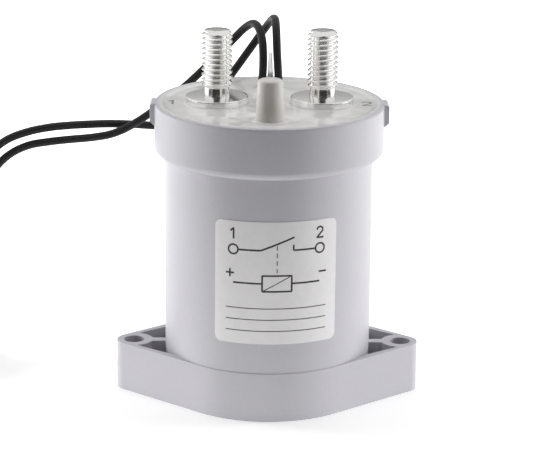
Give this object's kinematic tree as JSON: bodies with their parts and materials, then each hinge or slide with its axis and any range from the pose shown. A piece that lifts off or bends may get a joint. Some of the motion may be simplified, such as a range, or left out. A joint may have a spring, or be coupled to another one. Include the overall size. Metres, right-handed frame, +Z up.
{
  "type": "high voltage dc contactor",
  "caption": "Sealed high-voltage DC contactor: grey round housing on a diamond mounting flange, threaded power terminals and a post on the potted top, and flying coil leads.",
  "frame": {"origin": "middle of the flange's underside, on the axis of the barrel", "axes": "+Z up along the barrel, X through both studs and both mounting holes, -Y to the label"},
  "size_m": [0.1763, 0.0767, 0.1161],
  "materials": {
    "housing_plastic": "fine moulded grain",
    "pale_plastic": "frosted",
    "resin": "cast, slightly wavy",
    "plated_metal": "bright tin plate",
    "contact_silver": "satin",
    "copper": "drawn",
    "winding_wire": "enamelled wire",
    "soft_iron": "zinc plated",
    "spring_steel": "drawn",
    "magnet": "nickel grey",
    "dark_plastic": "moulded",
    "lead_black": "extruded sleeve",
    "label_white": "printed film"
  },
  "bodies": {
    "contactor": {"housing": "housing_plastic", "header_plate": "pale_plastic", "potting": "resin", "terminal_left": "plated_metal", "terminal_right": "plated_metal", "contact_tip_left": "contact_silver", "contact_tip_right": "contact_silver", "arc_chamber": "dark_plastic", "front_magnet": "magnet", "rear_magnet": "magnet", "pole_plate": "soft_iron", "yoke_can": "soft_iron", "fixed_core": "soft_iron", "coil_bobbin": "dark_plastic", "coil_winding": "winding_wire", "plunger_cup": "spring_steel", "return_spring": "spring_steel", "fill_tube": "copper", "fill_tube_cap": "pale_plastic", "lead_tails": "lead_black", "lead_left": "lead_black", "lead_right": "lead_black", "lead_coil": "lead_black", "coil_tie": "lead_black", "label": "label_white"},
    "plunger": {"plunger": "soft_iron", "plunger_shaft": "spring_steel", "insulating_bush": "dark_plastic", "contact_spring": "spring_steel", "stop_washer": "dark_plastic", "retaining_ring": "spring_steel"},
    "bridge": {"moving_contact": "copper", "moving_tips": "contact_silver"}
  },
  "joints": [
    {"name": "plunger_slide", "type": "slide", "parent": "contactor", "child": "plunger", "axis": [0, 0, 1], "range_m": [0, 0.0028], "stiffness_N_per_m": 1500, "springref_m": -0.006, "deforming": ["return_spring"]},
    {"name": "bridge_slide", "type": "slide", "parent": "plunger", "child": "bridge", "axis": [0, 0, 1], "range_m": [-0.0007, 0], "deforming": ["contact_spring"]}
  ],
  "couplings": [
    {"joint": "bridge_slide", "follows": "plunger_slide", "ratio": -0.23214}
  ]
}
